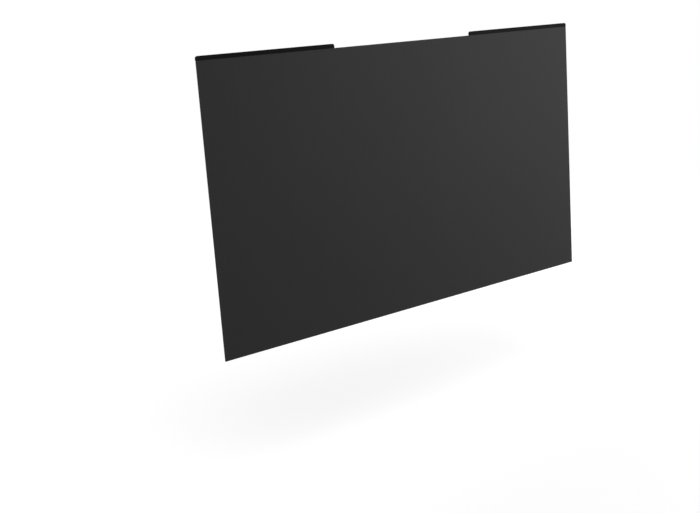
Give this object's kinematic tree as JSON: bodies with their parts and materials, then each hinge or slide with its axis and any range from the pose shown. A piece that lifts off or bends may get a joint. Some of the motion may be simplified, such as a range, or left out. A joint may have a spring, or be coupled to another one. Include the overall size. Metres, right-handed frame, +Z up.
{
  "type": "monitor privacy filter",
  "caption": "Dark flat privacy filter sheet for a wide monitor screen, with two black magnet strips along its top edge.",
  "frame": {"origin": "middle of the whole part's width and depth, at the sheet's bottom edge", "axes": "+X to the viewer's right, +Y away from the viewer towards the screen, +Z up; the front faces -Y"},
  "size_m": [0.51, 0.0028, 0.2923],
  "materials": {
    "sheet_laminate": "satin, nearly opaque dark grey louvre laminate",
    "strip_plastic": "fine satin moulded black",
    "magnet_rubber": "matt flexible magnet, dark brown-grey",
    "bonding_tape": "translucent double-sided acrylic tape"
  },
  "bodies": {
    "root": {"filter_sheet": "sheet_laminate", "left_strip": "strip_plastic", "right_strip": "strip_plastic", "left_magnet": "magnet_rubber", "right_magnet": "magnet_rubber", "left_tape": "bonding_tape", "right_tape": "bonding_tape"}
  },
  "joints": []
}
